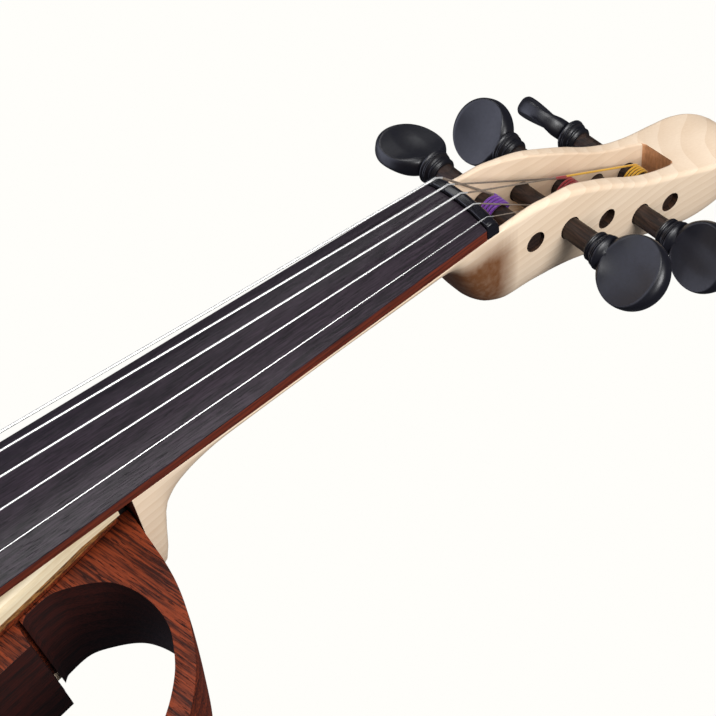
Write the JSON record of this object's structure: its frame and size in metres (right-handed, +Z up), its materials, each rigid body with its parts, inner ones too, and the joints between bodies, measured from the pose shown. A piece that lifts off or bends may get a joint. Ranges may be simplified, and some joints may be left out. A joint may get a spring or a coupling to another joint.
{
  "type": "electric violin",
  "caption": "Five-string electric violin with an open mahogany frame around a layered beam, pale maple neck, black pegs and a dark fingerboard.",
  "frame": {"origin": "middle of the bounding box on its lowest level, which is the level the instrument lies on", "axes": "+X along the strings towards the head, +Y towards the lowest string's side, +Z up from the back to the strings"},
  "size_m": [0.6206, 0.206, 0.0908],
  "materials": {
    "maple": "satin clear lacquer over pale maple",
    "board_wood": "oiled dark stained rosewood",
    "ebony": "polished black stained wood",
    "spruce": "satin clear lacquer over spruce",
    "core_wood": "satin clear lacquer over tan mahogany",
    "mahogany": "satin lacquer over red-brown mahogany",
    "bridge_maple": "bare quarter-sawn maple",
    "black_plastic": "satin moulded",
    "cork": "bare cork sheet",
    "nylon": "smooth black cord",
    "steel": "satin plated steel",
    "string_steel": "bright wound string, silk at its peg end",
    "brass": "plain turned brass"
  },
  "bodies": {
    "root": {"neck": "maple", "beam_back": "maple", "heel_dowel_1": "maple", "heel_dowel_2": "maple", "fingerboard": "board_wood", "nut": "ebony", "saddle": "ebony", "end_button": "ebony", "chin_rest": "ebony", "beam_top": "spruce", "beam_core": "core_wood", "frame_treble": "mahogany", "frame_bass": "mahogany", "bridge": "bridge_maple", "tailpiece": "black_plastic", "cavity_cover": "black_plastic", "rest_cork_1": "cork", "rest_cork_2": "cork", "tail_loop": "nylon", "pickup_lead": "nylon", "tuner_axle": "steel", "volume_pot": "steel", "switch_housing": "steel", "output_jack": "steel", "cover_screw_1": "steel", "cover_screw_2": "steel", "cover_screw_3": "steel", "cover_screw_4": "steel", "string_c": "string_steel", "string_g": "string_steel", "string_d": "string_steel", "string_a": "string_steel", "string_e": "string_steel", "bridge_pickup": "brass"},
    "peg_c_body": {"peg_c": "ebony"},
    "peg_g_body": {"peg_g": "ebony"},
    "peg_d_body": {"peg_d": "ebony"},
    "peg_a_body": {"peg_a": "ebony"},
    "peg_e_body": {"peg_e": "ebony"},
    "tuner_screw_c_body": {"tuner_screw_c": "steel"},
    "tuner_lever_c_body": {"tuner_lever_c": "steel", "string_ball_c": "brass"},
    "tuner_screw_g_body": {"tuner_screw_g": "steel"},
    "tuner_lever_g_body": {"tuner_lever_g": "steel", "string_ball_g": "brass"},
    "tuner_screw_d_body": {"tuner_screw_d": "steel"},
    "tuner_lever_d_body": {"tuner_lever_d": "steel", "string_ball_d": "brass"},
    "tuner_screw_a_body": {"tuner_screw_a": "steel"},
    "tuner_lever_a_body": {"tuner_lever_a": "steel", "string_ball_a": "brass"},
    "tuner_screw_e_body": {"tuner_screw_e": "steel"},
    "tuner_lever_e_body": {"tuner_lever_e": "steel", "string_ball_e": "brass"},
    "knob_body": {"volume_knob": "black_plastic"},
    "switch_body": {"switch_slider": "black_plastic"},
    "clamp_barrel_1_body": {"clamp_barrel_1": "steel"},
    "clamp_barrel_2_body": {"clamp_barrel_2": "steel"},
    "clamp_foot_body": {"clamp_foot": "steel", "clamp_cork": "cork"}
  },
  "joints": [
    {"name": "peg_c_turn", "type": "hinge", "parent": "root", "child": "peg_c_body", "pos_m": [0.20453, 0.0235, 0.04622], "axis": [0, 1, 0], "continuous": true, "deforming": ["string_c"]},
    {"name": "peg_g_turn", "type": "hinge", "parent": "root", "child": "peg_g_body", "pos_m": [0.23602, 0.0235, 0.0331], "axis": [0, 1, 0], "continuous": true, "deforming": ["string_g"]},
    {"name": "peg_d_turn", "type": "hinge", "parent": "root", "child": "peg_d_body", "pos_m": [0.26648, 0.0235, 0.01869], "axis": [0, 1, 0], "continuous": true, "deforming": ["string_d"]},
    {"name": "peg_a_turn", "type": "hinge", "parent": "root", "child": "peg_a_body", "pos_m": [0.21935, -0.0205, 0.04147], "axis": [0, 1, 0], "continuous": true, "deforming": ["string_a"]},
    {"name": "peg_e_turn", "type": "hinge", "parent": "root", "child": "peg_e_body", "pos_m": [0.25206, -0.0205, 0.02333], "axis": [0, 1, 0], "continuous": true, "deforming": ["string_e"]},
    {"name": "tuner_screw_c_press", "type": "slide", "parent": "root", "child": "tuner_screw_c_body", "axis": [0.1511, 0, -0.9885], "range_m": [0, 0.00244]},
    {"name": "tuner_lever_c_tilt", "type": "hinge", "parent": "root", "child": "tuner_lever_c_body", "pos_m": [-0.20801, 0.017, 0.06652], "axis": [0, -1, 0], "range_deg": [0, 12.1]},
    {"name": "tuner_screw_g_press", "type": "slide", "parent": "root", "child": "tuner_screw_g_body", "axis": [0.1511, 0, -0.9885], "range_m": [0, 0.00244]},
    {"name": "tuner_lever_g_tilt", "type": "hinge", "parent": "root", "child": "tuner_lever_g_body", "pos_m": [-0.20801, 0.0085, 0.06652], "axis": [0, -1, 0], "range_deg": [0, 12.1]},
    {"name": "tuner_screw_d_press", "type": "slide", "parent": "root", "child": "tuner_screw_d_body", "axis": [0.1511, 0, -0.9885], "range_m": [0, 0.00244]},
    {"name": "tuner_lever_d_tilt", "type": "hinge", "parent": "root", "child": "tuner_lever_d_body", "pos_m": [-0.20801, 0, 0.06652], "axis": [0, -1, 0], "range_deg": [0, 12.1]},
    {"name": "tuner_screw_a_press", "type": "slide", "parent": "root", "child": "tuner_screw_a_body", "axis": [0.1511, 0, -0.9885], "range_m": [0, 0.00244]},
    {"name": "tuner_lever_a_tilt", "type": "hinge", "parent": "root", "child": "tuner_lever_a_body", "pos_m": [-0.20801, -0.0085, 0.06652], "axis": [0, -1, 0], "range_deg": [0, 12.1]},
    {"name": "tuner_screw_e_press", "type": "slide", "parent": "root", "child": "tuner_screw_e_body", "axis": [0.1511, 0, -0.9885], "range_m": [0, 0.00244]},
    {"name": "tuner_lever_e_tilt", "type": "hinge", "parent": "root", "child": "tuner_lever_e_body", "pos_m": [-0.20801, -0.017, 0.06652], "axis": [0, -1, 0], "range_deg": [0, 12.1]},
    {"name": "volume_turn", "type": "hinge", "parent": "root", "child": "knob_body", "pos_m": [-0.27081, -0.04525, 0.04695], "axis": [-0.0385, 0, 0.9993], "range_deg": [0, 300]},
    {"name": "switch_slide", "type": "slide", "parent": "root", "child": "switch_body", "axis": [0.9993, 0, 0.0385], "range_m": [0, 0.004]},
    {"name": "clamp_barrel_1_turn", "type": "hinge", "parent": "root", "child": "clamp_barrel_1_body", "pos_m": [-0.30569, -0.0155, 0.0406], "axis": [-0.0385, 0, 0.9993], "range_deg": [0, 901]},
    {"name": "clamp_barrel_2_turn", "type": "hinge", "parent": "root", "child": "clamp_barrel_2_body", "pos_m": [-0.30569, 0.0155, 0.0406], "axis": [-0.0385, 0, 0.9993], "range_deg": [0, 901]},
    {"name": "clamp_foot_slide", "type": "slide", "parent": "root", "child": "clamp_foot_body", "axis": [0.0385, 0, -0.9993], "range_m": [0, 0.0035]}
  ],
  "couplings": [
    {"joint": "tuner_lever_c_tilt", "follows": "tuner_screw_c_press", "rad_per_m": 85.695},
    {"joint": "tuner_lever_g_tilt", "follows": "tuner_screw_g_press", "rad_per_m": 85.695},
    {"joint": "tuner_lever_d_tilt", "follows": "tuner_screw_d_press", "rad_per_m": 85.695},
    {"joint": "tuner_lever_a_tilt", "follows": "tuner_screw_a_press", "rad_per_m": 85.695},
    {"joint": "tuner_lever_e_tilt", "follows": "tuner_screw_e_press", "rad_per_m": 85.695},
    {"joint": "clamp_barrel_1_turn", "follows": "clamp_foot_slide", "rad_per_m": 4488},
    {"joint": "clamp_barrel_2_turn", "follows": "clamp_foot_slide", "rad_per_m": 4488}
  ]
}
